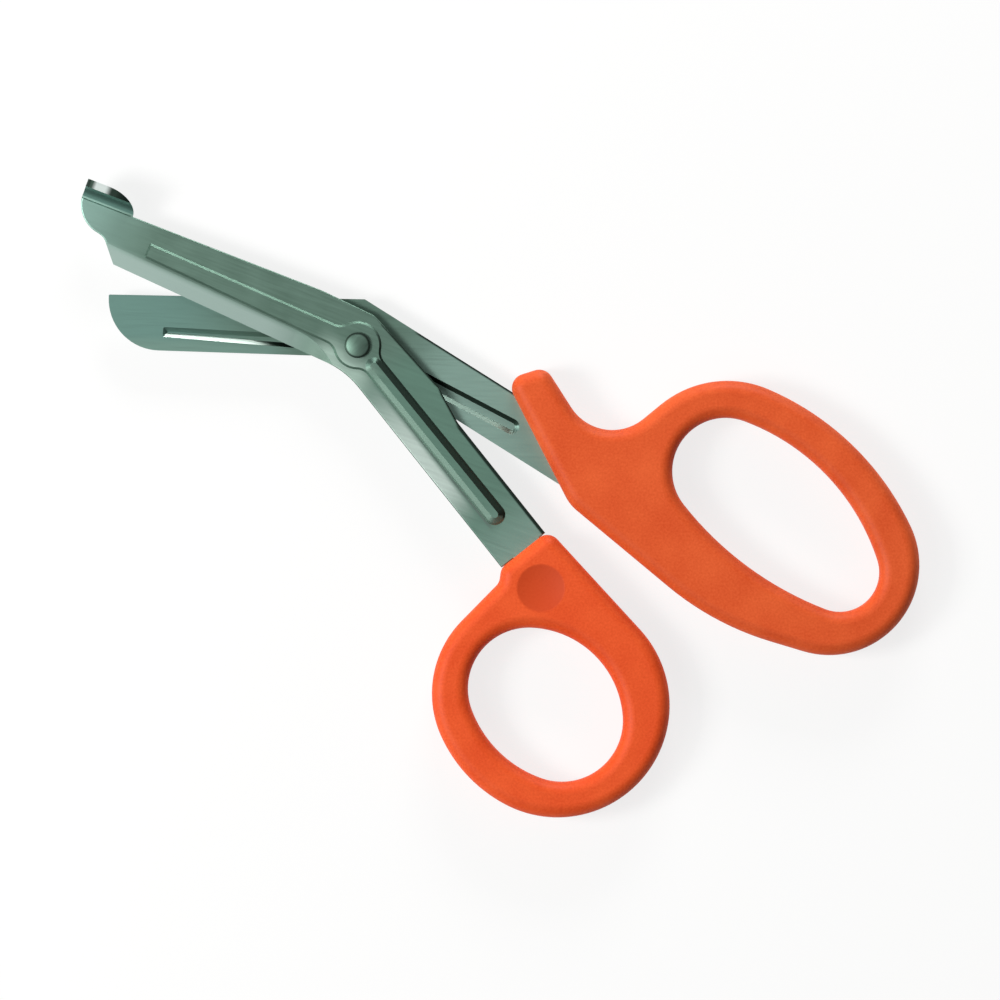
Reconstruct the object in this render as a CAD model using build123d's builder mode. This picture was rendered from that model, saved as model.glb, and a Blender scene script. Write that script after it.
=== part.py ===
"""Bandage scissors: two stamped steel blades on one rivet, with moulded grips.

All sizes are in millimetres and degrees. Each half is drawn in its own blade frame: the pivot is
the origin, the blade runs along -X with its edges along X, and the tang leaves to the right, turned
down by BEND. A tang frame has the same origin and X along the tang. A grip frame is the tang frame
moved along the tang by TANG_LENGTH, to where the steel enters the thumb handle.
"""

import os
from math import asin, atan2, degrees, radians, sqrt, tan

from build123d import *

# Place of the pivot in the shared frame, and how each half is turned there
PIVOT_X = -29.58
PIVOT_Y = 31.68
REAR_TURN = -1.9
OPEN_ANGLE = 19.35
BEND = 30.3

# Lengths from the pivot, to the nose of the front blade and to the thumb handle
BLADE_LENGTH = 64.4
TANG_LENGTH = 54.7

# Steel sheet of both blades
SHEET = 1.6
BLADE_GAP = 0.1
DEBURR = 0.25

# Embossed rib that stiffens both blades: low on the front blade, with a bead on its tang
RIB_WIDTH = 4.4
RIB_TIP_WIDTH = 3.2
RIB_TIP_ROUND = 0.4
RIB_BOSS_RADIUS = 5.0
RIB_BLEND = 3.0
FRONT_RIB_HEIGHT = 0.45
FRONT_RIB_DRAFT = 45.0
REAR_RIB_HEIGHT = 1.0
REAR_RIB_DRAFT = 50.0
BEAD_CLEARANCE = 1.1
BEAD_HEIGHT = 0.65
BEAD_DRAFT = 58.0

# Rivet
RIVET_RADIUS = 2.0
RIVET_RUNNING_FIT = 0.05
RIVET_HEAD_LIP = 0.65
RIVET_HEAD_HEIGHT = 0.9
RIVET_RIM = 0.45
RIVET_TAIL_HEIGHT = 0.8
RIVET_DIMPLE_RADIUS = 1.2
RIVET_DIMPLE_DEPTH = 0.3
RIVET_END_PLAY = 0.05

# Ground cutting bevel
BEVEL_WIDTH = 3.5
EDGE_LAND = 0.3
BEVEL_RUN_OUT = 12.0
BEVEL_HEEL = -13.0

# Front blade, in its blade frame
FRONT_BACK_Y = 7.97
FRONT_EDGE_HEEL_Y = -5.9
FRONT_EDGE_SETBACK = 11.1
FRONT_EDGE_START_Y = -2.7
FRONT_HEEL_BLEND = 18.0
FRONT_BACK_BREAK_X = -11.0
FRONT_BACK_LEAN = 4.2
FRONT_BACK_BLEND = 30.0
FRONT_CORNER_ROUND = 4.0
FRONT_RIB_SETBACK = 16.6
FRONT_RIB_TIP_Y = 2.6

# Front tang, in its tang frame
FRONT_TANG_LOW = -5.25
FRONT_TANG_HIGH = 6.33
FRONT_SHOULDER_X = 17.0
FRONT_SHOULDER_RISE = 1.5
FRONT_SHOULDER_SLOPE = 3.5
FRONT_SHOULDER_STEP = 8.5
FRONT_SHOULDER_BLEND = 6.5
FRONT_TANG_RIB_SETBACK = 7.3
FRONT_TANG_RIB_Y = 0.5
TONGUE_WIDTH = 7.0
TONGUE_MIDDLE_Y = 1.4
TONGUE_LENGTH = 15.0

# Guard foot at the front tip
NOSE_RADIUS = 6.75
NOSE_SETBACK = 5.8
NOSE_LOW_Y = 2.2
NOSE_HOLLOW = 3.0
GUARD_INNER_BEND = 2.4
GUARD_LENGTH = 11.3
GUARD_WALL = 2.2
GUARD_FRONT_ROUND = 1.6
GUARD_BACK_ROUND = 6.5

# Rear blade, in its blade frame
REAR_EDGE_HEEL_Y = 9.6
REAR_EDGE_TIP_Y = 8.85
REAR_BACK_Y = -2.41
REAR_TIP_SETBACK = 12.5
REAR_TIP_ROUND = 10.6
REAR_BOSS_LIP = 0.4
REAR_BOSS_BLEND = 6.0
REAR_RIB_SETBACK = 23.4
REAR_RIB_TIP_Y = 1.5

# Rear tang, in its tang frame
REAR_TANG_LOW = -2.09
REAR_TANG_HIGH = 8.92
REAR_TANG_REACH = 7.3
REAR_TANG_RIB_SETBACK = 16.5
REAR_TANG_RIB_Y = 3.0

# Keying holes that the plastic flows through
KEY_HOLE_RADIUS = 1.75

# Both handles
HANDLE_THICKNESS = 9.0
HANDLE_ROUND = 2.6

# Thumb handle, in the front grip frame. A spread is the distance between the end circles of an oval,
# a flat of 0 makes its side a half circle, and a shift leads from the hole to the outer circle.
THUMB_HOLE_FRONT = (23.2, -16.4)
THUMB_HOLE_SPREAD = 9.575
THUMB_HOLE_LEAN = 7.2
THUMB_HOLE_RADIUS = 12.65
THUMB_HOLE_UPPER_FLAT = 0.14
THUMB_HOLE_LOWER_FLAT = 0.37
THUMB_FRONT_SHIFT = (1.6, 0.4)
THUMB_REAR_SHIFT = (-3.1, 1.3)
THUMB_FRONT_WALL = 8.8
THUMB_REAR_WALL = 10.6
THUMB_RING_LOWER_FLAT = 0.2
THUMB_COLLAR_HIGH = 7.3
THUMB_COLLAR_LOW = -5.3
THUMB_NECK_LEAN = 1.2
THUMB_NECK_LOW = -7.6
THUMB_NECK_HOLLOW = 2.5
DISH_X = 8.4
DISH_Y = -1.5
DISH_RADIUS = 5.0
DISH_DEPTH = 0.5

# Finger handle, in the rear grip frame
FINGER_HOLE_FRONT = (23.9, 18.6)
FINGER_HOLE_SPREAD = 31.614
FINGER_HOLE_LEAN = -9.284
FINGER_HOLE_FRONT_RADIUS = 11.1
FINGER_HOLE_REAR_RADIUS = 8.2
FINGER_HOLE_UPPER_FLAT = 0.8
FINGER_HOLE_LOWER_FLAT = 1.7
FINGER_FRONT_SHIFT = (1.8, -2.3)
FINGER_REAR_SHIFT = (-2.7, 0.1)
FINGER_FRONT_WALL = 10.6
FINGER_REAR_WALL = 10.5
FINGER_LOOP_UPPER_FLAT = 0.72
FINGER_BELLY_SHIFT = (-16.4, -23.1)
FINGER_BELLY_ROUND = 60.0
FINGER_COLLAR_LOW = (0.2, -4.5)
FINGER_COLLAR_ROUND = 9.0
FINGER_HORN_LOW = (-24.9, 10.4)
FINGER_HORN_TIP = (-19.3, 17.0)
FINGER_HORN_ROUND = 3.0
FINGER_SADDLE_LEAN = 4.0
FINGER_SADDLE_LOW = 7.9
FINGER_SADDLE_ROUND = 10.1

# Derived places
MATE_Z = HANDLE_THICKNESS / 2
FACE = BLADE_GAP / 2
RIVET_HEAD_RADIUS = RIVET_RADIUS + RIVET_HEAD_LIP
BEAD_HALF = RIB_WIDTH / 2 - FRONT_RIB_HEIGHT * tan(radians(FRONT_RIB_DRAFT))
BEAD_START = RIVET_HEAD_RADIUS + BEAD_CLEARANCE + BEAD_HALF
REAR_BOSS_RADIUS = RIB_BOSS_RADIUS + REAR_BOSS_LIP
LIP_REACH = GUARD_INNER_BEND + SHEET
GUARD_HEIGHT = LIP_REACH + GUARD_WALL
HANDLE_EDGE = min(HANDLE_ROUND, 0.45 * HANDLE_THICKNESS)
HANDLE_CORNER = 1.08 * HANDLE_EDGE
FRONT_FRAME = Plane((PIVOT_X, PIVOT_Y, MATE_Z)).rotated((0, 0, REAR_TURN - OPEN_ANGLE))
REAR_FRAME = Plane((PIVOT_X, PIVOT_Y, MATE_Z)).rotated((0, 0, REAR_TURN))
FRONT_GRIP = Plane(FRONT_FRAME.rotated((0, 0, -BEND)).location * Location((TANG_LENGTH, 0, 0)))
REAR_GRIP = Plane(REAR_FRAME.rotated((0, 0, -BEND)).location * Location((TANG_LENGTH, 0, 0)))


def turned(x, y):
    """Point of a tang frame, given in the blade frame."""
    return Vector(x, y).rotate(Axis.Z, -BEND)


def beyond(point, length, angle):
    """Point at a distance and an angle from another."""
    return Vector(point) + Vector(length, 0).rotate(Axis.Z, angle)


def meet(p, p_angle, q, q_angle):
    """Point where two lines cross, each given by a point and an angle."""
    p_dir = Vector(1, 0).rotate(Axis.Z, p_angle)
    q_dir = Vector(1, 0).rotate(Axis.Z, q_angle)
    gap = Vector(q) - Vector(p)
    reach = (gap.X * q_dir.Y - gap.Y * q_dir.X) / (p_dir.X * q_dir.Y - p_dir.Y * q_dir.X)
    return Vector(p) + p_dir * reach


def touch(point, centre, radius, side):
    """Point where a line from a point touches a circle, on the side of the sign."""
    reach = Vector(centre) - Vector(point)
    spread = degrees(asin(radius / reach.length))
    direction = reach.normalized().rotate(Axis.Z, side * spread)
    return Vector(point) + direction * sqrt(reach.length**2 - radius**2)


def side_arc(first, first_radius, second, second_radius, flat, side):
    """Centre, start and end of an arc that rounds one side of two circles."""
    first, second = Vector(first), Vector(second)
    along = second - first
    across = along.normalized().rotate(Axis.Z, 90 * side)
    radius = (1 + flat) * (first_radius + second_radius + along.length) / 2
    near, far = radius - first_radius, radius - second_radius
    shift = (near**2 - far**2 + along.length**2) / (2 * along.length)
    centre = first + along.normalized() * shift - across * sqrt(near**2 - shift**2)
    start = centre + (first - centre).normalized() * radius
    end = centre + (second - centre).normalized() * radius
    return centre, start, end


def arc_between(centre, start, end):
    """Arc round a centre, counter-clockwise from one point to another."""
    first, last = Vector(start) - Vector(centre), Vector(end) - Vector(centre)
    angle = degrees(atan2(first.Y, first.X))
    sweep = (degrees(atan2(last.Y, last.X)) - angle) % 360
    return CenterArc(centre, first.length, angle, sweep)


def oval(first, first_radius, second, second_radius, upper, lower):
    """Oval of four arcs: two end circles joined by an upper and a lower side arc."""
    low, low_first, low_second = side_arc(first, first_radius, second, second_radius, lower, -1)
    top, top_first, top_second = side_arc(first, first_radius, second, second_radius, upper, 1)
    arc_between(low, low_first, low_second)
    arc_between(second, low_second, top_second)
    arc_between(top, top_second, top_first)
    arc_between(first, top_first, low_first)


def corners_on(sketch, radius):
    """Corners of a sketch that lie on a circle round its origin."""
    return sketch.vertices().filter_by(lambda v: abs(Vector(*v).length - radius) < 0.001)


def rib(inset, height, draft, tip, tang_end):
    """Drafted rib of one blade: a tapered blade bar, a boss round the rivet and a tang bar."""
    along = tip.normalized()
    across = along.rotate(Axis.Z, 90)
    root, end = RIB_WIDTH / 2 - inset, RIB_TIP_WIDTH / 2 - inset
    stop = tip - along * inset
    reach = tang_end.length - RIB_WIDTH / 2
    boss = RIB_BOSS_RADIUS - inset
    with BuildPart() as drafted:
        with BuildSketch() as figure:
            Polygon(across * -root, stop - across * end, stop + across * end, across * root, align=None)
            fillet(figure.vertices().sort_by(Axis.X)[:2], radius=RIB_TIP_ROUND)
            with Locations(tang_end.normalized() * (reach / 2)):
                SlotCenterToCenter(reach, 2 * root, rotation=degrees(atan2(tang_end.Y, tang_end.X)))
            Circle(boss)
            fillet(corners_on(figure, boss), radius=RIB_BLEND)
        extrude(amount=height, taper=draft)
    return drafted.part


def hollow(height, draft, half_width):
    """Inset and depth of the hollow behind a rib, where the sheet keeps its thickness."""
    inset = SHEET * tan(radians(90 - draft) / 2)
    return inset, min(height, 0.9 * (half_width - inset) / tan(radians(draft)))


def bead(half_width, height, tang_end):
    """Drafted bead on a tang bar, from beside the rivet to the end of the bar."""
    along = tang_end.normalized()
    reach = tang_end.length - RIB_WIDTH / 2 - BEAD_START
    with BuildPart() as drafted:
        with BuildSketch():
            with Locations(along * (BEAD_START + reach / 2)):
                SlotCenterToCenter(reach, 2 * half_width, rotation=degrees(atan2(along.Y, along.X)))
        extrude(amount=height, taper=BEAD_DRAFT)
    return drafted.part


def bevel(frame, heel, tip, inward):
    """Ground bevel of one blade, with a run-out where the wheel leaves the edge at the heel."""
    edge = Vector(heel) - Vector(tip)
    along = edge.normalized()
    grind = Plane(heel, x_dir=along.rotate(Axis.Z, 90 * inward), z_dir=along)
    place = Plane(frame.location * grind.location)
    slope = (SHEET - EDGE_LAND) / BEVEL_WIDTH
    top, over = FACE + SHEET, SHEET
    with BuildPart() as cutter:
        with BuildSketch(place) as section:
            Polygon((-over, top - slope * (BEVEL_WIDTH + over)), (BEVEL_WIDTH, top),
                    (BEVEL_WIDTH, top + over), (-over, top + over), align=None)
        extrude(amount=-edge.length - 2 * BEVEL_WIDTH)
        axis_foot = place.from_local_coords(Vector(-BEVEL_RUN_OUT, 0, 0))
        revolve(section.sketch, axis=Axis(axis_foot, place.y_dir * -1), revolution_arc=60)
    return cutter.part


# Front blade outline, from the guard nose round the tang to the back edge
edge_start = Vector(FRONT_EDGE_SETBACK - BLADE_LENGTH, FRONT_EDGE_START_Y)
edge_angle = degrees(atan2(FRONT_EDGE_HEEL_Y - edge_start.Y, -edge_start.X))
front_heel = meet((0, FRONT_EDGE_HEEL_Y), edge_angle, turned(0, FRONT_TANG_LOW), -BEND)
shoulder = turned(FRONT_SHOULDER_X, FRONT_TANG_HIGH + FRONT_SHOULDER_RISE)
back_break = Vector(FRONT_BACK_BREAK_X, FRONT_BACK_Y)
front_corner = meet(back_break, -FRONT_BACK_LEAN, shoulder, FRONT_SHOULDER_SLOPE - BEND)
tongue_low = TONGUE_MIDDLE_Y - TONGUE_WIDTH / 2
tongue_high = TONGUE_MIDDLE_Y + TONGUE_WIDTH / 2
tongue_end = TANG_LENGTH + TONGUE_LENGTH
nose_low = Vector(NOSE_SETBACK - BLADE_LENGTH, NOSE_LOW_Y)
nose_top = Vector(-BLADE_LENGTH, FRONT_BACK_Y)
front_path = [
    (nose_low + Vector(NOSE_HOLLOW / 2, -NOSE_HOLLOW / 8), NOSE_HOLLOW),
    (edge_start, DEBURR),
    (front_heel, FRONT_HEEL_BLEND),
    (turned(TANG_LENGTH, FRONT_TANG_LOW), 0),
    (turned(TANG_LENGTH, tongue_low), 0),
    (turned(tongue_end, tongue_low), TONGUE_WIDTH / 4),
    (turned(tongue_end, tongue_high), TONGUE_WIDTH / 4),
    (turned(TANG_LENGTH, tongue_high), 0),
    (turned(TANG_LENGTH, FRONT_TANG_HIGH), 0),
    (turned(FRONT_SHOULDER_X + FRONT_SHOULDER_STEP, FRONT_TANG_HIGH), FRONT_SHOULDER_BLEND),
    (shoulder, FRONT_SHOULDER_BLEND),
    (front_corner, FRONT_CORNER_ROUND),
    (back_break, FRONT_BACK_BLEND),
    (nose_top + Vector(GUARD_LENGTH, 0), 0),
]

# Guard foot: a lip of the same sheet, bent up along the back edge and rounded at both ends
lip_foot = FRONT_FRAME.location * Location((nose_top.X, nose_top.Y, FACE))
with BuildPart() as guard_lip:
    with BuildSketch(Plane(lip_foot * Plane.YZ.location)):
        with BuildLine():
            RadiusArc((0, 0), (LIP_REACH, LIP_REACH), -LIP_REACH)
            Polyline((LIP_REACH, LIP_REACH), (LIP_REACH, GUARD_HEIGHT), (GUARD_INNER_BEND, GUARD_HEIGHT),
                     (GUARD_INNER_BEND, LIP_REACH))
            RadiusArc((GUARD_INNER_BEND, LIP_REACH), (0, SHEET), GUARD_INNER_BEND)
            Line((0, SHEET), (0, 0))
        make_face()
    extrude(amount=GUARD_LENGTH)
    with BuildSketch(Plane(lip_foot * Plane.XZ.location)):
        front_round = min(GUARD_FRONT_ROUND, GUARD_WALL)
        with BuildLine():
            FilletPolyline((0, 0), (GUARD_LENGTH, 0), (GUARD_LENGTH, GUARD_HEIGHT), (0, GUARD_HEIGHT),
                           radius=[0, 0, GUARD_HEIGHT - SHEET, front_round], close=True)
        make_face()
    extrude(amount=-2 * LIP_REACH, mode=Mode.INTERSECT)
    with BuildSketch(Plane(lip_foot)):
        back_start = GUARD_LENGTH - GUARD_BACK_ROUND
        with BuildLine():
            Polyline((GUARD_LENGTH, 0), (0, 0), (0, LIP_REACH), (back_start, LIP_REACH))
            EllipticalCenterArc((back_start, 0), GUARD_BACK_ROUND, LIP_REACH, arc_size=90)
        make_face()
    extrude(amount=GUARD_HEIGHT, mode=Mode.INTERSECT)

front_bevel_heel = (BEVEL_HEEL, FRONT_EDGE_HEEL_Y + BEVEL_HEEL * tan(radians(edge_angle)))
front_rib_tip = Vector(FRONT_RIB_SETBACK - BLADE_LENGTH, FRONT_RIB_TIP_Y)
front_rib_end = turned(TANG_LENGTH - FRONT_TANG_RIB_SETBACK, FRONT_TANG_RIB_Y)
front_rib = rib(0, FRONT_RIB_HEIGHT, FRONT_RIB_DRAFT, front_rib_tip, front_rib_end)
front_inset, front_depth = hollow(FRONT_RIB_HEIGHT, FRONT_RIB_DRAFT, RIB_TIP_WIDTH / 2)
front_recess = rib(front_inset, front_depth, FRONT_RIB_DRAFT, front_rib_tip, front_rib_end)
front_bead = bead(BEAD_HALF, BEAD_HEIGHT, front_rib_end)
groove_half = RIB_WIDTH / 2 - front_inset - front_depth * tan(radians(FRONT_RIB_DRAFT))
groove_depth = min(BEAD_HEIGHT, 0.9 * groove_half / tan(radians(BEAD_DRAFT)))
front_groove = bead(groove_half, groove_depth, front_rib_end)
front_bevel = bevel(FRONT_FRAME, front_bevel_heel, edge_start, 1)

with BuildPart() as front_blade:
    with BuildSketch(FRONT_FRAME.offset(FACE)):
        with BuildLine():
            FilletPolyline(nose_low, *[point for point, _ in front_path], nose_top,
                           radius=[radius for _, radius in front_path])
            RadiusArc(nose_top, nose_low, -NOSE_RADIUS)
        make_face()
        with Locations(turned(tongue_end - TONGUE_WIDTH / 2, TONGUE_MIDDLE_Y)):
            Circle(KEY_HOLE_RADIUS, mode=Mode.SUBTRACT)
    extrude(amount=SHEET)
    rim = front_blade.faces().sort_by(Axis.Z)[-1].outer_wire().edges()
    lip_root = FRONT_FRAME.from_local_coords(nose_top + Vector(GUARD_LENGTH / 2, 0))
    fillet(rim.sort_by_distance((lip_root.X, lip_root.Y, MATE_Z + FACE + SHEET))[1:], radius=DEBURR)
    add(guard_lip.part)
    add(FRONT_FRAME.offset(FACE + SHEET).location * front_rib)
    add(FRONT_FRAME.offset(FACE + SHEET + FRONT_RIB_HEIGHT).location * front_bead)
    add(FRONT_FRAME.offset(FACE).location * front_recess, mode=Mode.SUBTRACT)
    add(FRONT_FRAME.offset(FACE + front_depth).location * front_groove, mode=Mode.SUBTRACT)
    add(front_bevel, mode=Mode.SUBTRACT)
    with BuildSketch(FRONT_FRAME):
        Circle(RIVET_RADIUS + RIVET_RUNNING_FIT)
    extrude(amount=2 * SHEET + FRONT_RIB_HEIGHT, mode=Mode.SUBTRACT)
front_blade.part.label = "front_blade"

# Rear blade: its edge is on the other side, and its rib stands out below
rear_tip = Vector(REAR_TIP_SETBACK - BLADE_LENGTH, REAR_EDGE_TIP_Y)
rear_edge_angle = degrees(atan2(REAR_EDGE_HEEL_Y - rear_tip.Y, -rear_tip.X))
rear_tang_end = TANG_LENGTH + REAR_TANG_REACH
rear_heel = meet((0, REAR_EDGE_HEEL_Y), rear_edge_angle, turned(0, REAR_TANG_HIGH), -BEND)
rear_notch = meet((0, REAR_BACK_Y), 0, turned(0, REAR_TANG_LOW), -BEND)
rear_path = [
    (rear_tip, DEBURR),
    (Vector(rear_tip.X, REAR_BACK_Y), min(REAR_TIP_ROUND, 0.95 * (rear_tip.Y - REAR_BACK_Y))),
    (rear_notch, 0),
    (turned(rear_tang_end, REAR_TANG_LOW), TONGUE_WIDTH / 4),
    (turned(rear_tang_end, REAR_TANG_HIGH), TONGUE_WIDTH / 4),
    (rear_heel, 2 * DEBURR),
]
rear_bevel_heel = (BEVEL_HEEL, REAR_EDGE_HEEL_Y + BEVEL_HEEL * tan(radians(rear_edge_angle)))
rear_rib_tip = Vector(REAR_RIB_SETBACK - BLADE_LENGTH, REAR_RIB_TIP_Y)
rear_rib_end = turned(TANG_LENGTH - REAR_TANG_RIB_SETBACK, REAR_TANG_RIB_Y)
rear_inset, rear_depth = hollow(REAR_RIB_HEIGHT, REAR_RIB_DRAFT, RIB_TIP_WIDTH / 2)
rear_rib = mirror(rib(0, REAR_RIB_HEIGHT, REAR_RIB_DRAFT, rear_rib_tip, rear_rib_end), about=Plane.XY)
rear_recess = mirror(rib(rear_inset, rear_depth, REAR_RIB_DRAFT, rear_rib_tip, rear_rib_end),
                     about=Plane.XY)
rear_bevel = bevel(REAR_FRAME, rear_bevel_heel, rear_tip, -1)

with BuildPart() as rear_blade:
    with BuildSketch(REAR_FRAME.offset(-FACE)) as rear_outline:
        with BuildLine():
            FilletPolyline(*[point for point, _ in rear_path],
                           radius=[radius for _, radius in rear_path], close=True)
        make_face()
        Circle(REAR_BOSS_RADIUS)
        fillet(corners_on(rear_outline, REAR_BOSS_RADIUS), radius=REAR_BOSS_BLEND)
        with Locations(turned(rear_tang_end - TONGUE_WIDTH / 2, (REAR_TANG_LOW + REAR_TANG_HIGH) / 2)):
            Circle(KEY_HOLE_RADIUS, mode=Mode.SUBTRACT)
    extrude(amount=-SHEET)
    fillet(rear_blade.faces().sort_by(Axis.Z)[0].outer_wire().edges(), radius=DEBURR)
    add(REAR_FRAME.offset(-FACE - SHEET).location * rear_rib)
    add(REAR_FRAME.offset(-FACE).location * rear_recess, mode=Mode.SUBTRACT)
    add(rear_bevel, mode=Mode.SUBTRACT)
    with BuildSketch(REAR_FRAME):
        Circle(RIVET_RADIUS)
    extrude(amount=-2 * SHEET - REAR_RIB_HEIGHT, mode=Mode.SUBTRACT)
rear_blade.part.label = "rear_blade"

# Rivet: a domed head over the front boss, and a rolled tail tight under the rear boss
head_seat = FACE + SHEET + FRONT_RIB_HEIGHT + RIVET_END_PLAY
tail_seat = -(FACE + SHEET + REAR_RIB_HEIGHT)
head_top = Vector(0, head_seat + RIVET_HEAD_HEIGHT)
head_rim = Vector(RIVET_HEAD_RADIUS, head_seat + RIVET_RIM)
tail_rim = Vector(RIVET_HEAD_RADIUS, tail_seat - RIVET_RIM)
dimple_rim = Vector(RIVET_DIMPLE_RADIUS, tail_seat - RIVET_TAIL_HEIGHT)
dimple = Vector(0, tail_seat - RIVET_TAIL_HEIGHT + RIVET_DIMPLE_DEPTH)
with BuildPart() as pivot_rivet:
    with BuildSketch(Plane((PIVOT_X, PIVOT_Y, MATE_Z), x_dir=(1, 0, 0), z_dir=(0, -1, 0))):
        with BuildLine():
            TangentArc(head_top, head_rim, tangent=(1, 0))
            Polyline(head_rim, (RIVET_HEAD_RADIUS, head_seat), (RIVET_RADIUS, head_seat),
                     (RIVET_RADIUS, tail_seat), (RIVET_HEAD_RADIUS, tail_seat), tail_rim)
            TangentArc(tail_rim, dimple_rim, tangent=(0, -1))
            Polyline(dimple_rim, dimple, head_top)
        make_face()
    revolve(axis=Axis((PIVOT_X, PIVOT_Y, 0), (0, 0, 1)))
pivot_rivet.part.label = "pivot_rivet"

# Thumb handle: a ring with a neck, moulded over the front tongue
thumb_hole_rear = beyond(THUMB_HOLE_FRONT, THUMB_HOLE_SPREAD, THUMB_HOLE_LEAN)
ring_front = Vector(THUMB_HOLE_FRONT) + Vector(THUMB_FRONT_SHIFT)
ring_rear = thumb_hole_rear + Vector(THUMB_REAR_SHIFT)
ring_front_radius = THUMB_HOLE_RADIUS + THUMB_FRONT_WALL
ring_rear_radius = THUMB_HOLE_RADIUS + THUMB_REAR_WALL
thumb_neck = Vector(ring_front.X - ring_front_radius - THUMB_NECK_LEAN, THUMB_NECK_LOW)
thumb_shoulder = Vector(0, THUMB_COLLAR_HIGH)
thumb_upper = touch(thumb_shoulder, ring_rear, ring_rear_radius, 1)
thumb_lower = touch(thumb_neck, ring_front, ring_front_radius, -1)
low_centre, low_front, low_rear = side_arc(ring_front, ring_front_radius, ring_rear, ring_rear_radius,
                                           THUMB_RING_LOWER_FLAT, -1)
dish_ball = (DISH_RADIUS**2 + DISH_DEPTH**2) / (2 * DISH_DEPTH)
with BuildPart() as thumb_handle:
    with BuildSketch(FRONT_GRIP.offset(-MATE_Z)):
        with BuildLine():
            FilletPolyline(thumb_upper, thumb_shoulder, (0, THUMB_COLLAR_LOW), thumb_neck, thumb_lower,
                           radius=[HANDLE_CORNER, HANDLE_CORNER, THUMB_NECK_HOLLOW])
            arc_between(ring_front, thumb_lower, low_front)
            arc_between(low_centre, low_front, low_rear)
            arc_between(ring_rear, low_rear, thumb_upper)
        make_face()
        with BuildLine():
            oval(THUMB_HOLE_FRONT, THUMB_HOLE_RADIUS, thumb_hole_rear, THUMB_HOLE_RADIUS,
                 THUMB_HOLE_UPPER_FLAT, THUMB_HOLE_LOWER_FLAT)
        make_face(mode=Mode.SUBTRACT)
    extrude(amount=HANDLE_THICKNESS)
    fillet(thumb_handle.faces().filter_by(Axis.Z).edges(), radius=HANDLE_EDGE)
    with Locations(FRONT_GRIP.offset(MATE_Z).location * Location((DISH_X, DISH_Y, dish_ball - DISH_DEPTH))):
        Sphere(dish_ball, mode=Mode.SUBTRACT)
    add(front_blade.part, mode=Mode.SUBTRACT)
thumb_handle.part.label = "thumb_handle"

# Finger handle: a long loop with a finger rest, moulded over the rear tang
finger_hole_rear = beyond(FINGER_HOLE_FRONT, FINGER_HOLE_SPREAD, FINGER_HOLE_LEAN)
loop_front = Vector(FINGER_HOLE_FRONT) + Vector(FINGER_FRONT_SHIFT)
loop_rear = finger_hole_rear + Vector(FINGER_REAR_SHIFT)
loop_front_radius = FINGER_HOLE_FRONT_RADIUS + FINGER_FRONT_WALL
loop_rear_radius = FINGER_HOLE_REAR_RADIUS + FINGER_REAR_WALL
finger_belly = finger_hole_rear + Vector(FINGER_BELLY_SHIFT)
finger_saddle = Vector(loop_front.X - loop_front_radius - FINGER_SADDLE_LEAN, FINGER_SADDLE_LOW)
finger_left = touch(finger_saddle, loop_front, loop_front_radius, 1)
finger_under = touch(finger_belly, loop_rear, loop_rear_radius, -1)
top_centre, top_front, top_rear = side_arc(loop_front, loop_front_radius, loop_rear, loop_rear_radius,
                                           FINGER_LOOP_UPPER_FLAT, 1)
horn_round = max(FINGER_HORN_ROUND, HANDLE_CORNER)
with BuildPart() as finger_handle:
    with BuildSketch(REAR_GRIP.offset(-MATE_Z)):
        with BuildLine():
            FilletPolyline(finger_left, finger_saddle, FINGER_HORN_TIP, FINGER_HORN_LOW, FINGER_COLLAR_LOW,
                           finger_belly, finger_under,
                           radius=[FINGER_SADDLE_ROUND, horn_round, horn_round,
                                   FINGER_COLLAR_ROUND, FINGER_BELLY_ROUND])
            arc_between(loop_rear, finger_under, top_rear)
            arc_between(top_centre, top_rear, top_front)
            arc_between(loop_front, top_front, finger_left)
        make_face()
        with BuildLine():
            oval(FINGER_HOLE_FRONT, FINGER_HOLE_FRONT_RADIUS, finger_hole_rear, FINGER_HOLE_REAR_RADIUS,
                 FINGER_HOLE_UPPER_FLAT, FINGER_HOLE_LOWER_FLAT)
        make_face(mode=Mode.SUBTRACT)
    extrude(amount=HANDLE_THICKNESS)
    fillet(finger_handle.faces().filter_by(Axis.Z).edges(), radius=HANDLE_EDGE)
    add(rear_blade.part, mode=Mode.SUBTRACT)
finger_handle.part.label = "finger_handle"

os.makedirs("parts", exist_ok=True)
for piece in [front_blade, rear_blade, pivot_rivet, thumb_handle, finger_handle]:
    export_step(piece.part, f"parts/{piece.part.label}.step")
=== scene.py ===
"""Looks of the bandage scissors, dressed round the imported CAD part.

The solids of the part are right as they are, so each node keeps its shape and gets the finish of the
real piece: satin stamped steel with a ground edge, a turned rivet and matte moulded grips. Places are
in the row frame, in metres where nothing else is said. Angles are in degrees, counter-clockwise from +X.
"""

import logging
import math
from dataclasses import dataclass, field, replace
from enum import Enum
from typing import Any

import bpy
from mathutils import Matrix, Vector


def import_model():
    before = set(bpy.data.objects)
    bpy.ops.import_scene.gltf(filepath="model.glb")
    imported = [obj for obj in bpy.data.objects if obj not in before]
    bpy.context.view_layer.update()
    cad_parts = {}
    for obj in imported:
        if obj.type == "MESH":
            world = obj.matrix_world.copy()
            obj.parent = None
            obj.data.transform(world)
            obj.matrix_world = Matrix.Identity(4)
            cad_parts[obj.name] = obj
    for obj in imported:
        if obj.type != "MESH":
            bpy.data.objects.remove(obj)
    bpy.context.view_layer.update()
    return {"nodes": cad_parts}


LOG = logging.getLogger("bandage_scissors")
MM = 0.001
PIVOT = Vector((-29.58, 31.68, 0.0)) * MM
WHITE = (1.0, 1.0, 1.0, 1.0)
# Nearly all of a noise lies between these values
NOISE_LOW, NOISE_HIGH = 0.3, 0.7
# How far a face turns to a side of the blade, on a wall and on the flat of the sheet
WALL_TURN, FLAT_TURN = 0.8, 0.9


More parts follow.
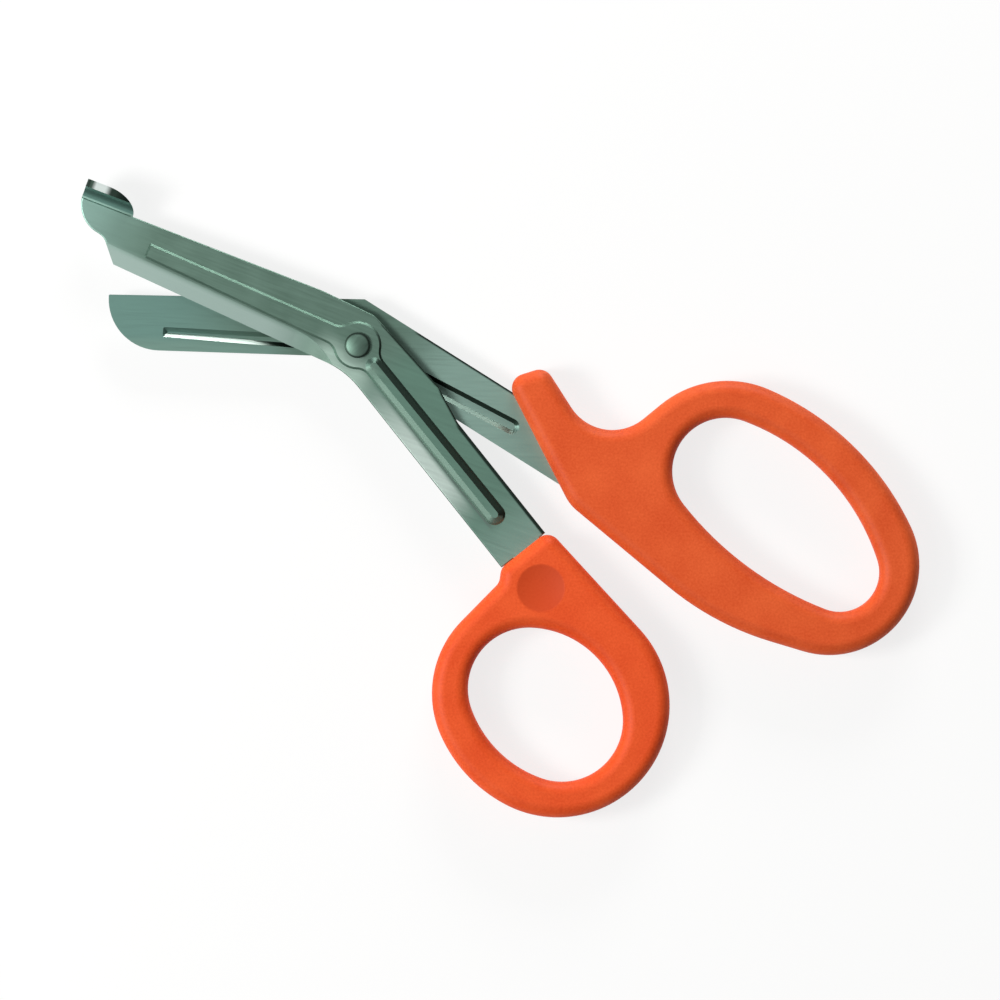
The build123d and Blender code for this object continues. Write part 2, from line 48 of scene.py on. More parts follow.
class Piece(Enum):
    """The CAD nodes, one for each piece of the scissors."""

    FRONT_BLADE = "front_blade"
    REAR_BLADE = "rear_blade"
    RIVET = "pivot_rivet"
    THUMB_HANDLE = "thumb_handle"
    FINGER_HANDLE = "finger_handle"


class Side(Enum):
    """The side of a blade, as the sign of Z."""

    FRONT = 1
    BACK = -1


class Tone(Enum):
    """Colours of the steel: ground, lighter, and painted shade, shadow, light and highlights."""

    LIGHTER_NOSE = "#a0c4b8"
    LIGHTER_TIP = "#7a9f95"
    LIGHTER_MARGIN = "#84a599"
    PRESSED_TANG = "#769a8a"
    LIGHTER_FRONT_TANG = "#97b7aa"
    LIGHTER_REAR_TANG = "#9cbcb0"
    GROUND_HEEL = "#bed9cb"
    GROUND_BEVEL = "#a1b6ae"
    PAINTED_SHADE_RUN_OUT = "#60756a"
    PAINTED_HIGHLIGHT_MARGIN = "#dceee5"
    PAINTED_HIGHLIGHT_WALL = "#c9d8d0"
    PAINTED_LIGHT_BEAD = "#839f91"
    PAINTED_HIGHLIGHT_CORNER = "#e8f2ee"
    PAINTED_WALL_SHADE = "#7d9389"
    PAINTED_SOFT_SHADE = "#5d766b"
    PAINTED_BEND_SHADE = "#5a7b72"
    PAINTED_FOOT_LIGHT = "#7da59a"
    PAINTED_SHADE = "#34433b"
    PAINTED_EDGE_SHADOW = "#2c3a33"


class Measure(Enum):
    """What the bound of a patch is measured on, as the output of the texture coordinate node."""

    PLACE = "Object"
    FACING = "Normal"


def linear(hex_colour: str) -> tuple[float, float, float, float]:
    """Turn an sRGB colour into the linear colour that a shader takes.

    Args:
        hex_colour: Colour as "#rrggbb".

    Returns:
        Linear red, green, blue and an alpha of 1.
    """
    parts = [int(hex_colour[i : i + 2], 16) / 255 for i in (1, 3, 5)]
    lit = [c / 12.92 if c <= 0.04045 else ((c + 0.055) / 1.055) ** 2.4 for c in parts]
    return (*lit, 1.0)


def heading(angle: float) -> Vector:
    """Return the unit vector in the XY plane at an angle."""
    return Vector((math.cos(math.radians(angle)), math.sin(math.radians(angle)), 0.0))


def add_node(tree: bpy.types.NodeTree, kind: str, settings: dict[str, Any] | None = None,
             links: dict[str | int, bpy.types.NodeSocket] | None = None) -> bpy.types.Node:
    """Add a node to a tree.

    Args:
        tree: Node tree that gets the node.
        kind: Blender's type name of the node.
        settings: Values by name, of the node's own properties or of its input sockets.
        links: Output sockets to link, by the name or number of the input socket.

    Returns:
        The new node.
    """
    node = tree.nodes.new(kind)
    for name, value in (settings or {}).items():
        if hasattr(node, name):
            setattr(node, name, value)
        else:
            node.inputs[name].default_value = value
    for name, socket in (links or {}).items():
        tree.links.new(socket, node.inputs[name])
    return node


def new_material(name: str) -> tuple[bpy.types.Material, bpy.types.NodeTree]:
    """Make an empty node material.

    Args:
        name: Name of the real material and its finish.

    Returns:
        The material and its node tree.
    """
    material = bpy.data.materials.new(name)
    material.use_nodes = True
    material.node_tree.nodes.clear()
    return material, material.node_tree


@dataclass(frozen=True)
class Bound:
    """A soft bound of a patch.

    Attributes:
        axis: Direction that it is measured along.
        gone: Measure at which the patch has gone.
        full: Measure at which it is full.
        measure: What is measured.
    """

    axis: Vector
    gone: float
    full: float
    measure: Measure = Measure.PLACE


def reach(direction: float, gone: float, full: float) -> Bound:
    """Return a bound by the distance from the pivot in a direction.

    Args:
        direction: Direction in degrees.
        gone: Distance in mm at which the patch has gone.
        full: Distance in mm at which it is full.

    Returns:
        The bound.
    """
    axis = heading(direction)
    return Bound(axis, PIVOT.dot(axis) + gone * MM, PIVOT.dot(axis) + full * MM)


def height(gone: float, full: float) -> Bound:
    """Return a bound by the height above the table, in mm."""
    return Bound(Vector((0, 0, 1)), gone * MM, full * MM)


def turned_to(direction: float, gone: float, full: float) -> Bound:
    """Return a bound by how far a face turns to a level direction in degrees, from 0 to 1."""
    return Bound(heading(direction), gone, full, Measure.FACING)


def facing(side: Side) -> Bound:
    """Return a bound that keeps a patch on the flats of one side of a blade."""
    return Bound(Vector((0, 0, side.value)), WALL_TURN, FLAT_TURN, Measure.FACING)


@dataclass(frozen=True)
class Patch:
    """A part of a blade with another tone, such as a ground edge, a lighter end or painted shade.

    Attributes:
        tone: Tone of the steel there.
        bounds: Bounds that all hold on the patch.
    """

    tone: Tone
    bounds: tuple[Bound, ...]

    def mask(self, tree: bpy.types.NodeTree, place: bpy.types.Node) -> bpy.types.NodeSocket:
        """Add the nodes that tell where the patch lies.

        Args:
            tree: Node tree of the material.
            place: Texture coordinate node.

        Returns:
            A value from 0 to 1, highest on the patch.
        """
        product = None
        for bound in self.bounds:
            along = add_node(tree, "ShaderNodeVectorMath", {"operation": "DOT_PRODUCT"},
                             {0: place.outputs[bound.measure.value]})
            along.inputs[1].default_value = bound.axis
            part = add_node(tree, "ShaderNodeMapRange",
                            {"interpolation_type": "SMOOTHSTEP", "From Min": bound.gone,
                             "From Max": bound.full}, {"Value": along.outputs["Value"]}).outputs[0]
            if product is not None:
                part = add_node(tree, "ShaderNodeMath", {"operation": "MULTIPLY"},
                                {0: product, 1: part}).outputs[0]
            product = part
        return product


@dataclass(frozen=True)
class SatinSteel:
    """Stamped stainless steel sheet with a satin, greenish grey face.

    The rolled and tumbled sheet scatters light widely, with faint streaks along the blade. Patches
    lie over it where a wheel ground it and where it is lighter, and as painted shade, shadow and light.

    Attributes:
        name: Name of the material.
        streak_angle: Direction of the streaks.
        patches: Patches, each laid over those before it.
        dark: Colour in the streaks.
        light: Colour between them.
        shade_range: Noise at which the colour is dark, and at which it is light.
        roughness: Mean roughness.
        roughness_spread: How far the streaks take it up and down.
        streak_width: Width of a streak.
        streak_length: Length of a streak.
        streak_share: How strong the streaks are, next to the clouds.
        streak_depth: Depth of a streak.
        bump_strength: How strongly the streaks turn the light.
        cloud_size: Size of the soft clouds in the colour.
    """

    name: str
    streak_angle: float
    patches: tuple[Patch, ...]
    dark: str = "#6b8779"
    light: str = "#789587"
    shade_range: tuple[float, float] = (0.55, 1.05)
    roughness: float = 0.52
    roughness_spread: float = 0.035
    # Real streaks are about 0.05 mm wide. They are drawn at 0.3 mm, so that they show in the render.
    streak_width: float = 0.3 * MM
    streak_length: float = 9 * MM
    streak_share: float = 0.6
    streak_depth: float = 0.004 * MM
    bump_strength: float = 0.5
    cloud_size: float = 7 * MM

    def build(self) -> bpy.types.Material:
        """Build the steel.

        Returns:
            The new material.
        """
        material, tree = new_material(self.name)
        place = add_node(tree, "ShaderNodeTexCoord")
        streaks = self._streaks(tree, place)
        cloud = add_node(tree, "ShaderNodeTexNoise", {"Scale": 1 / self.cloud_size, "Detail": 3.0},
                         {"Vector": place.outputs["Object"]})
        tone = add_node(tree, "ShaderNodeMath", {"operation": "MULTIPLY_ADD"},
                        {0: streaks.outputs["Fac"], 2: cloud.outputs["Fac"]})
        tone.inputs[1].default_value = self.streak_share
        shade = add_node(tree, "ShaderNodeMapRange",
                         {"From Min": self.shade_range[0], "From Max": self.shade_range[1]},
                         {"Value": tone.outputs[0]})
        satin = add_node(tree, "ShaderNodeMix", {"data_type": "RGBA"}, {0: shade.outputs[0]})
        satin.inputs[6].default_value = linear(self.dark)
        satin.inputs[7].default_value = linear(self.light)
        colour = satin.outputs[2]
        rough = add_node(tree, "ShaderNodeMapRange",
                         {"From Min": NOISE_LOW, "From Max": NOISE_HIGH,
                          "To Min": self.roughness - self.roughness_spread,
                          "To Max": self.roughness + self.roughness_spread},
                         {"Value": streaks.outputs["Fac"]})
        for patch in self.patches:
            over = add_node(tree, "ShaderNodeMix", {"data_type": "RGBA"},
                            {0: patch.mask(tree, place), 6: colour})
            over.inputs[7].default_value = linear(patch.tone.value)
            colour = over.outputs[2]
        bump = add_node(tree, "ShaderNodeBump",
                        {"Strength": self.bump_strength, "Distance": self.streak_depth},
                        {"Height": streaks.outputs["Fac"]})
        steel = add_node(tree, "ShaderNodeBsdfPrincipled", {"Metallic": 1.0},
                         {"Base Color": colour, "Roughness": rough.outputs[0],
                          "Normal": bump.outputs[0]})
        add_node(tree, "ShaderNodeOutputMaterial", None, {"Surface": steel.outputs[0]})
        return material

    def _streaks(self, tree: bpy.types.NodeTree, place: bpy.types.Node) -> bpy.types.Node:
        """Add a noise that is drawn out into streaks.

        Args:
            tree: Node tree of the material.
            place: Texture coordinate node.

        Returns:
            The noise node.
        """
        turn = (0.0, 0.0, math.radians(-self.streak_angle))
        turned = add_node(tree, "ShaderNodeMapping", {"Rotation": turn},
                          {"Vector": place.outputs["Object"]})
        scale = (1 / self.streak_length, 1 / self.streak_width, 1 / self.streak_width)
        drawn = add_node(tree, "ShaderNodeMapping", {"Scale": scale}, {"Vector": turned.outputs[0]})
        return add_node(tree, "ShaderNodeTexNoise", {"Scale": 1.0, "Detail": 2.0},
                        {"Vector": drawn.outputs[0]})


@dataclass(frozen=True)
class MouldedPlastic:
    """Matte orange polypropylene from a spark-eroded mould.

    The fine grain of the mould breaks up the gloss, the pigment is a little uneven, and a low seam
    runs round the middle of the thickness, where the halves of the mould met.

    Attributes:
        name: Name of the material.
        pigment: Colour where the pigment is dense.
        pale: Colour where the pigment is thin.
        shade_range: Noise at which the colour is dense, and at which it is thin.
        ior: Refractive index.
        gloss: Strength of the gloss, where 0.5 is that of a clean surface.
        roughness: Mean roughness.
        roughness_spread: How far the grain takes it up and down.
        grain: Size of the grain.
        grain_depth: Depth of the grain.
        grain_strength: How strongly the grain turns the light.
        cloud_size: Size of the soft clouds in the pigment.
        seam_height: Height of the seam above the table.
        seam_width: Width of the seam, from its ridge to its foot.
        seam_depth: Height of the seam's ridge.
        seam_strength: How strongly the seam turns the light.
        dish_centre: Centre of the round dish, or None for a handle without one.
        dish_radius: Radius of the dish.
        dish_edge: Shares of the radius at which the dish's tone has gone and is full.
        dish_tone: Colour in the dish.
        dish_strength: How far that colour covers the plain one.
    """

    name: str
    pigment: str
    pale: str
    shade_range: tuple[float, float] = (0.6, 1.4)
    ior: float = 1.49
    gloss: float = 0.25
    roughness: float = 0.55
    roughness_spread: float = 0.05
    # Real grain is about 0.15 mm. It is drawn at 0.45 mm, so that it shows in the render.
    grain: float = 0.45 * MM
    grain_depth: float = 0.02 * MM
    grain_strength: float = 0.6
    cloud_size: float = 9 * MM
    seam_height: float = 4.5 * MM
    seam_width: float = 0.3 * MM
    seam_depth: float = 0.08 * MM
    seam_strength: float = 0.8
    dish_centre: Vector | None = None
    dish_radius: float = 5.0 * MM
    dish_edge: tuple[float, float] = (1.04, 0.94)
    dish_tone: str = "#c9431a"
    dish_strength: float = 0.75

    def build(self) -> bpy.types.Material:
        """Build the plastic.

        Returns:
            The new material.
        """
        material, tree = new_material(self.name)
        place = add_node(tree, "ShaderNodeTexCoord")
        cloud = add_node(tree, "ShaderNodeTexNoise", {"Scale": 1 / self.cloud_size, "Detail": 4.0},
                         {"Vector": place.outputs["Object"]})
        grain = add_node(tree, "ShaderNodeTexNoise", {"Scale": 1 / self.grain, "Detail": 2.0},
                         {"Vector": place.outputs["Object"]})
        both = add_node(tree, "ShaderNodeMath", {"operation": "ADD"},
                        {0: cloud.outputs["Fac"], 1: grain.outputs["Fac"]})
        shade = add_node(tree, "ShaderNodeMapRange",
                         {"From Min": self.shade_range[0], "From Max": self.shade_range[1]},
                         {"Value": both.outputs[0]})
        plain = add_node(tree, "ShaderNodeMix", {"data_type": "RGBA"}, {0: shade.outputs[0]})
        plain.inputs[6].default_value = linear(self.pigment)
        plain.inputs[7].default_value = linear(self.pale)
        colour = plain.outputs[2]
        if self.dish_centre is not None:
            colour = self._dish(tree, place, colour)
        rough = add_node(tree, "ShaderNodeMapRange",
                         {"From Min": NOISE_LOW, "From Max": NOISE_HIGH,
                          "To Min": self.roughness - self.roughness_spread,
                          "To Max": self.roughness + self.roughness_spread},
                         {"Value": grain.outputs["Fac"]})
        seam = self._seam(tree, place)
        fine = add_node(tree, "ShaderNodeBump",
                        {"Strength": self.grain_strength, "Distance": self.grain_depth},
                        {"Height": grain.outputs["Fac"]})
        ridge = add_node(tree, "ShaderNodeBump",
                         {"Strength": self.seam_strength, "Distance": self.seam_depth},
                         {"Height": seam, "Normal": fine.outputs[0]})
        plastic = add_node(tree, "ShaderNodeBsdfPrincipled",
                           {"IOR": self.ior, "Specular IOR Level": self.gloss},
                           {"Base Color": colour, "Roughness": rough.outputs[0],
                            "Normal": ridge.outputs[0]})
        add_node(tree, "ShaderNodeOutputMaterial", None, {"Surface": plastic.outputs[0]})
        return material

    def _seam(self, tree: bpy.types.NodeTree, place: bpy.types.Node) -> bpy.types.NodeSocket:
        """Add the height of the mould seam.

        Args:
            tree: Node tree of the material.
            place: Texture coordinate node.

        Returns:
            Height from 0 to 1, highest on the seam.
        """
        parts = add_node(tree, "ShaderNodeSeparateXYZ", None, {0: place.outputs["Object"]})
        above = add_node(tree, "ShaderNodeMath", {"operation": "SUBTRACT"}, {0: parts.outputs["Z"]})
        above.inputs[1].default_value = self.seam_height
        off = add_node(tree, "ShaderNodeMath", {"operation": "ABSOLUTE"}, {0: above.outputs[0]})
        ridge = add_node(tree, "ShaderNodeMapRange",
                         {"From Min": self.seam_width, "From Max": 0.0}, {"Value": off.outputs[0]})
        return ridge.outputs[0]

    def _dish(self, tree: bpy.types.NodeTree, place: bpy.types.Node,
              colour: bpy.types.NodeSocket) -> bpy.types.NodeSocket:
        """Darken the shallow round dish in the neck of the handle.

        Args:
            tree: Node tree of the material.
            place: Texture coordinate node.
            colour: Colour of the plain plastic.

        Returns:
            Colour with the dish laid over it.
        """
        away = add_node(tree, "ShaderNodeVectorMath", {"operation": "DISTANCE"},
                        {0: place.outputs["Object"]})
        away.inputs[1].default_value = self.dish_centre
        gone, full = (share * self.dish_radius for share in self.dish_edge)
        inside = add_node(tree, "ShaderNodeMapRange",
                          {"From Min": gone, "From Max": full, "To Max": self.dish_strength},
                          {"Value": away.outputs["Value"]})
        dish = add_node(tree, "ShaderNodeMix", {"data_type": "RGBA"}, {0: inside.outputs[0], 6: colour})
        dish.inputs[7].default_value = linear(self.dish_tone)
        return dish.outputs[2]


@dataclass(frozen=True)
class EdgeRun:
    """A straight run of a blade's cut edge, with painted shadow along it, in mm and degrees.

    Attributes:
        outward: Direction from the pivot that is square to the run.
        distance: Distance of the run from the pivot in that direction.
        start: Where the run starts, along it.
        end: Where it ends.
        width: Width of the painted shadow along the run.
        core: Width of its part that is wholly dark.
        fade: How far it fades at either end of the run, to both sides of it.
    """

    outward: float
    distance: float
    start: float
    end: float
    width: float = 0.6
    core: float = 0.2
    fade: float = 1.0

    def patch(self, side: Bound) -> Patch:
        """Return the narrow painted shadow just inside the run.

        Args:
            side: Bound to one side of the blade.

        Returns:
            The patch.
        """
        return Patch(Tone.PAINTED_EDGE_SHADOW, (
            reach(self.outward, self.distance - self.width, self.distance - self.core),
            reach(self.outward - 90, self.start - self.fade, self.start + self.fade),
            reach(self.outward + 90, -self.end - self.fade, self.fade - self.end),
            side,
        ))


@dataclass
class Half:
    """One half of the scissors: a blade with its handle.

    Attributes:
        blade: Node of the blade.
        handle: Node of the handle.
        tip: Direction from the pivot to the tip, in degrees.
        tang: Direction from the pivot along the tang, in degrees.
        pigment: Colour of the handle where the pigment is dense.
        pale: Colour of the handle where the pigment is thin.
    """

    blade: Piece
    handle: Piece
    tip: float
    tang: float
    pigment: str
    pale: str

    def patches(self) -> tuple[Patch, ...]:
        """Return the patches of the blade, each laid over those before it."""
        return ()

    def plastic(self) -> MouldedPlastic:
        """Return the finish of the handle."""
        return MouldedPlastic(f"moulded_polypropylene_{self.handle.value}", self.pigment, self.pale)

    def dress(self, nodes: dict[str, bpy.types.Object]) -> None:
        """Give the blade and the handle their finishes.

        Args:
            nodes: CAD nodes by name.
        """
        # Tumbled after stamping: a wide, soft sheen that no lamp shows in as a spot
        steel = SatinSteel(f"tumbled_stainless_steel_{self.blade.value}", self.tip, self.patches())
        put_on(nodes, self.blade, steel.build())
        # Moulded against a grained wall: an even, dull orange with hardly any gloss
        put_on(nodes, self.handle, self.plastic().build())


@dataclass
class ThumbHalf(Half):
    """The half on top: the front blade with its guard foot, and the handle with the small ring.

    Attributes:
        bevel: Direction from the pivot that is square to the cutting edge.
        heel: Direction from the pivot to the heel, where the bevel runs out.
        run_out: Direction of the key lamp, whose highlight on the run-out is covered by painted shade.
        foot: Distance in mm from the pivot at which the guard foot starts.
        face: Height in mm of the blade's upper face.
        rim: Height in mm from which the cut rim of the foot shows.
        dish_centre: Centre of the round dish in the handle's neck.
        shadow_edge: Runs of the right edge of the tang, with painted shadow along them.
    """

    blade: Piece = Piece.FRONT_BLADE
    handle: Piece = Piece.THUMB_HANDLE
    tip: float = 158.75
    tang: float = -51.55
    pigment: str = "#de4716"
    pale: str = "#f6622c"
    bevel: float = 245.31
    heel: float = 232.0
    run_out: float = 183.0
    foot: float = 52.0
    face: float = 6.15
    rim: float = 9.8
    dish_centre: Vector = field(default_factory=lambda: Vector((8.49, -18.67, 8.8)) * MM)
    shadow_edge: tuple[EdgeRun, ...] = (
        EdgeRun(41.8, 6.85, 0.0, 17.5),
        EdgeRun(28.4, 10.7, 16.5, 26.0),
        EdgeRun(38.45, 6.0, 26.0, 60.0),
    )

    def patches(self) -> tuple[Patch, ...]:
        """Lay out the patches of the front blade.

        Distances are in mm from the pivot, first where a patch has gone and then where it is full.

        Returns:
            The patches, each laid over those before it.
        """
        tip, tang, top = self.tip, self.tang, facing(Side.FRONT)
        foot = reach(tip, self.foot - 1.5, self.foot)
        bend = height(self.face, self.face + 0.06)
        wall = height(self.face + 0.75, self.face + 1.45)
        rim = height(self.rim - 0.8, self.rim)
        return (
            # The blade's nose lighter, and the tang from the rivet to the handle, lighter by the handle
            Patch(Tone.LIGHTER_NOSE, (reach(tip, 46, 64),)),
            Patch(Tone.PRESSED_TANG, (reach(tang, 2, 12),)),
            Patch(Tone.LIGHTER_FRONT_TANG, (reach(tang, 40, 56),)),
            # The grinding, from the heel along the cutting edge
            Patch(Tone.GROUND_HEEL, (reach(self.heel, 0, 5), reach(self.heel - 90, -9, -3),
                                     reach(self.heel + 90, -9, -3), top)),
            Patch(Tone.GROUND_BEVEL, (reach(self.bevel, 1.7, 3.5), reach(self.bevel - 90, 4, 20), top)),
            # Painted shade on the run-out's faces that turn to the key lamp, in place of their highlight
            Patch(Tone.PAINTED_SHADE_RUN_OUT, (reach(self.bevel, 1.7, 3.5), turned_to(self.run_out, 0.165, 0.3),
                                        top)),
            # Painted highlight on the margin left of the bead, and painted shade on the tang's left edge
            Patch(Tone.PAINTED_HIGHLIGHT_MARGIN, (reach(tang - 90, 1.7, 3.1), reach(tang, 3, 25),
                                       reach(tang + 180, -45, -33), top)),
            Patch(Tone.PAINTED_SOFT_SHADE, (reach(tang - 90, 4.4, 4.8), turned_to(tang - 90, 0.2, 0.45),
                                   reach(tang, 4, 8))),
            # Painted shade in a line at the foot of the bead's left wall, and painted light on the wall
            Patch(Tone.PAINTED_WALL_SHADE, (reach(tang - 90, 1.35, 1.6), reach(tang + 90, -2.3, -2.0),
                                    reach(tang, 10, 14), reach(tang + 180, -48, -45), top)),
            Patch(Tone.PAINTED_LIGHT_BEAD, (turned_to(tang - 90, 0.2, 0.4), reach(tang + 90, -2.2, -1.9),
                                     reach(tang, 6, 10))),
            # Painted shade on the bead's right wall, and on its round start by the rivet
            Patch(Tone.PAINTED_SHADE, (turned_to(tang + 90, 0.25, 0.42), reach(tang, -1, 4))),
            Patch(Tone.PAINTED_SOFT_SHADE, (turned_to(tang + 180, 0.15, 0.35), reach(tang, 2.5, 3.5),
                                   reach(tang + 180, -11, -9))),
            # Painted shadow along the tang's right edge
            *(run.patch(top) for run in self.shadow_edge),
            # The guard foot: painted shade in its bend and on its rim, and painted light on its wall
            Patch(Tone.PAINTED_BEND_SHADE, (bend, foot)),
            Patch(Tone.PAINTED_FOOT_LIGHT, (wall, foot)),
            Patch(Tone.PAINTED_SHADE, (rim,)),
            # A painted highlight on the foot's corner by the nose
            Patch(Tone.PAINTED_HIGHLIGHT_CORNER, (rim, reach(tip, 58.8, 60.4), reach(tip + 180, -63.2, -62.2))),
        )

    def plastic(self) -> MouldedPlastic:
        """Return the finish of the handle, with its dish."""
        return replace(super().plastic(), dish_centre=self.dish_centre)


@dataclass
class FingerHalf(Half):
    """The half underneath: the rear blade with its round nose, and the handle with the long loop.

    Attributes:
        bevel: Direction from the pivot that is square to the cutting edge.
        shadow_edge: The upper edge of the tang, with painted shadow along it.
    """

    blade: Piece = Piece.REAR_BLADE
    handle: Piece = Piece.FINGER_HANDLE
    tip: float = 178.1
    tang: float = -32.2
    pigment: str = "#d64b1b"
    pale: str = "#ee6631"
    bevel: float = 88.93
    shadow_edge: EdgeRun = EdgeRun(57.8, 8.92, 9.0, 60.0)

    def patches(self) -> tuple[Patch, ...]:
        """Lay out the patches of the rear blade.

        Distances are in mm from the pivot, first where a patch has gone and then where it is full.

        Returns:
            The patches, each laid over those before it.
        """
        tip, tang, top = self.tip, self.tang, facing(Side.FRONT)
        tang_groove = reach(tang, 4, 10)
        return (
            # Lighter towards the nose, on the lower margin of the blade and on the tang
            Patch(Tone.LIGHTER_TIP, (reach(tip, 16, 42),)),
            Patch(Tone.LIGHTER_MARGIN, (reach(tip + 90, -1, 1.5), reach(tip, 12, 20), top)),
            Patch(Tone.LIGHTER_REAR_TANG, (reach(tang, 4, 22),)),
            # Pressed grooves: painted shadow on the lower wall where the blade's groove ends
            Patch(Tone.PAINTED_SHADE, (turned_to(tip - 90, 0.2, 0.4), reach(tip, 4, 8),
                               reach(tip + 180, -22, -18))),
            # A painted highlight on that wall further out
            Patch(Tone.PAINTED_HIGHLIGHT_WALL, (turned_to(tip - 90, 0.45, 0.6), reach(tip, 17, 22))),
            # Painted shade on both walls of the tang's groove
            Patch(Tone.PAINTED_WALL_SHADE, (turned_to(tang + 90, 0.3, 0.5), tang_groove)),
            Patch(Tone.PAINTED_SHADE, (turned_to(tang - 90, 0.3, 0.5), tang_groove)),
            # Painted shadow along the tang's upper edge, and the cutting edge, which is ground on the
            # back
            self.shadow_edge.patch(top),
            Patch(Tone.GROUND_BEVEL, (reach(self.bevel, 6.0, 6.8), reach(self.bevel + 90, 8, 14),
                                      facing(Side.BACK))),
        )


@dataclass
class Pivot:
    """The rivet that both halves turn on.

    Attributes:
        rivet: Node of the rivet.
        rim: Height in mm below which painted shadow lines the head's rim.
        rim_fade: Height in mm over which the painted shadow fades out.
        streak_angle: Direction of the turning marks, in degrees.
    """

    rivet: Piece = Piece.RIVET
    rim: float = 7.17
    rim_fade: float = 0.11
    streak_angle: float = 45.0

    def dress(self, nodes: dict[str, bpy.types.Object]) -> None:
        """Give the rivet its finish.

        Args:
            nodes: CAD nodes by name.
        """
        patches = (Patch(Tone.PAINTED_SHADE, (height(self.rim + self.rim_fade, self.rim),)),)
        # Turned, then set cold: the same soft sheen on the dome, and painted shadow in a line round its
        # foot
        steel = SatinSteel("turned_stainless_steel_rivet", self.streak_angle, patches)
        put_on(nodes, self.rivet, steel.build())


def put_on(nodes: dict[str, bpy.types.Object], piece: Piece, material: bpy.types.Material) -> None:
    """Put a material in every slot of a CAD node.

    Args:
        nodes: CAD nodes by name.
        piece: Node to dress.
        material: Its finish.
    """
    for slot in nodes[piece.value].material_slots:
        slot.material = material
    LOG.info("%s: %s", piece.value, material.name)


@dataclass(frozen=True)
class SoftBox:
    """A soft lamp that points at the scissors.

    Attributes:
        name: Name of the lamp.
        azimuth: Direction to the lamp, in degrees.
        elevation: Height of the lamp above the horizon, in degrees.
        distance: Distance from the scissors.
        width: Width of its panel.
        height: Height of its panel.
        radiance: Brightness of its panel, where 1 is as bright as white paper in plain light.
    """

    name: str
    azimuth: float
    elevation: float
    distance: float
    width: float
    height: float
    radiance: float

    def hang(self) -> None:
        """Add the lamp to the scene."""
        lamp = bpy.data.lights.new(self.name, "AREA")
        lamp.shape = "RECTANGLE"
        lamp.size, lamp.size_y = self.width, self.height
        lamp.energy = self.radiance * math.pi * self.width * self.height
        holder = bpy.data.objects.new(self.name, lamp)
        rise = math.radians(self.elevation)
        towards = heading(self.azimuth) * math.cos(rise) + Vector((0, 0, math.sin(rise)))
        holder.location = towards * self.distance
        holder.rotation_euler = towards.to_track_quat("Z", "Y").to_euler()
        holder.visible_camera = False
        bpy.context.scene.collection.objects.link(holder)


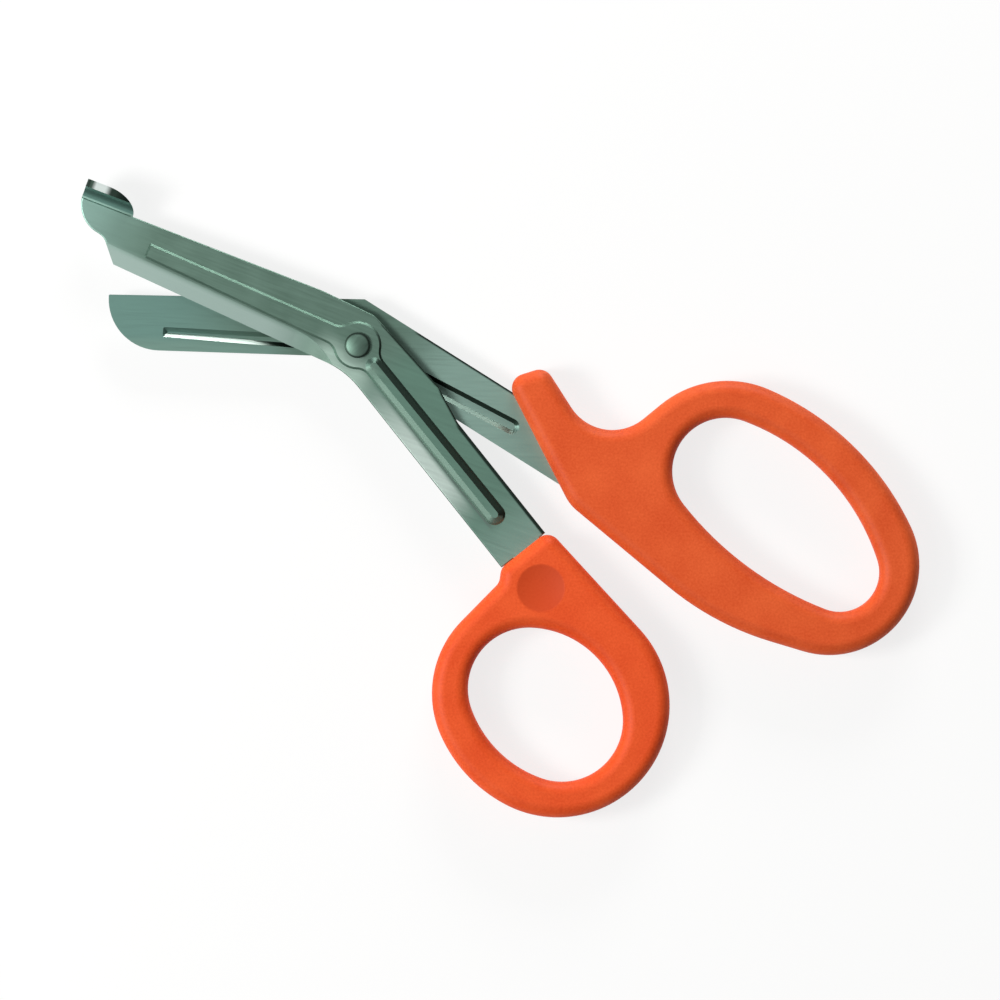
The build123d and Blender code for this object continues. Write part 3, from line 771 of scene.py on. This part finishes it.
@dataclass
class Studio:
    """Pale floor, soft lamps and a camera that looks straight down, as in the photograph.

    Attributes:
        floor_size: Side of the floor.
        floor_colour: Colour of its paper.
        floor_drop: Gap between the scissors and the floor.
        floor_glow: Share of white that the camera sees in the floor, over the paper's own shade.
        floor_white: Strength at which that share is white.
        fill: Strength of the light from all round.
        view_width: Width of the view at the scissors.
        view_centre: Place that the camera looks down on.
        view_height: Height at which the width is that of the view.
        camera_distance: Distance of the camera above that height.
        sensor_width: Width of the camera's sensor, in mm.
        far_clip: Distance that the camera sees to.
        lamps: Lamps.
    """

    floor_size: float = 12.0
    floor_colour: str = "#fcfcfa"
    floor_drop: float = 0.1 * MM
    floor_glow: float = 0.8
    floor_white: float = 1.0
    fill: float = 0.12
    view_width: float = 207.5 * MM
    view_centre: tuple[float, float] = (0.01 * MM, -0.4 * MM)
    view_height: float = 4.5 * MM
    camera_distance: float = 3.0
    sensor_width: float = 36.0
    far_clip: float = 100.0
    lamps: list[SoftBox] = field(default_factory=lambda: [
        SoftBox("key", 183.0, 42.0, 1.0, 0.3, 0.3, 23.3),
        SoftBox("soft", 190.0, 53.0, 1.0, 0.45, 0.45, 4.0),
        SoftBox("top_strip", 82.0, 20.0, 0.8, 0.4, 0.2, 17.0),
        SoftBox("edge_card", 245.0, 50.0, 0.9, 0.3, 0.15, 1.8),
    ])

    def build(self) -> None:
        """Add the floor, the light and the camera to the scene."""
        self._lay_floor()
        self._light()
        self._set_camera()
        bpy.context.scene.view_settings.view_transform = "Standard"

    def _lay_floor(self) -> None:
        """Lay a plain pale floor that stays white to the camera and keeps the shadow."""
        bpy.ops.mesh.primitive_plane_add(size=self.floor_size, location=(0, 0, -self.floor_drop))
        floor = bpy.context.object
        floor.name = "floor"
        # Uncoated paper: no gloss, and only a soft shadow shows on it
        material, tree = new_material("pale_paper")
        rays = add_node(tree, "ShaderNodeLightPath")
        seen = rays.outputs["Is Camera Ray"]
        for name in ("Is Glossy Ray", "Is Transmission Ray"):
            seen = add_node(tree, "ShaderNodeMath", {"operation": "MAXIMUM"},
                            {0: seen, 1: rays.outputs[name]}).outputs[0]
        share = add_node(tree, "ShaderNodeMath", {"operation": "MULTIPLY"}, {0: seen})
        share.inputs[1].default_value = self.floor_glow
        paper = add_node(tree, "ShaderNodeBsdfDiffuse", {"Color": linear(self.floor_colour)})
        glow = add_node(tree, "ShaderNodeEmission", {"Color": WHITE, "Strength": self.floor_white})
        both = add_node(tree, "ShaderNodeMixShader", None,
                        {0: share.outputs[0], 1: paper.outputs[0], 2: glow.outputs[0]})
        add_node(tree, "ShaderNodeOutputMaterial", None, {"Surface": both.outputs[0]})
        floor.data.materials.append(material)
        LOG.info("floor: %s", material.name)

    def _light(self) -> None:
        """Set the plain fill of the world and hang the lamps."""
        world = bpy.data.worlds.new("studio")
        world.use_nodes = True
        world.node_tree.nodes.clear()
        fill = add_node(world.node_tree, "ShaderNodeBackground",
                        {"Color": WHITE, "Strength": self.fill})
        add_node(world.node_tree, "ShaderNodeOutputWorld", None, {"Surface": fill.outputs[0]})
        bpy.context.scene.world = world
        for lamp in self.lamps:
            lamp.hang()

    def _set_camera(self) -> None:
        """Set the camera over the scissors, far enough away to see them flat."""
        lens = bpy.data.cameras.new("camera")
        lens.sensor_width = self.sensor_width
        lens.lens = self.sensor_width * self.camera_distance / self.view_width
        lens.clip_end = self.far_clip
        camera = bpy.data.objects.new("camera", lens)
        camera.location = (*self.view_centre, self.view_height + self.camera_distance)
        bpy.context.scene.collection.objects.link(camera)
        bpy.context.scene.camera = camera


def main() -> None:
    """Load the part, dress it and set up the studio."""
    logging.basicConfig(level=logging.INFO, format="%(name)s: %(message)s")
    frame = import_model()
    for group in (ThumbHalf(), FingerHalf(), Pivot()):
        group.dress(frame["nodes"])
    Studio().build()


if __name__ == "__main__":
    main()
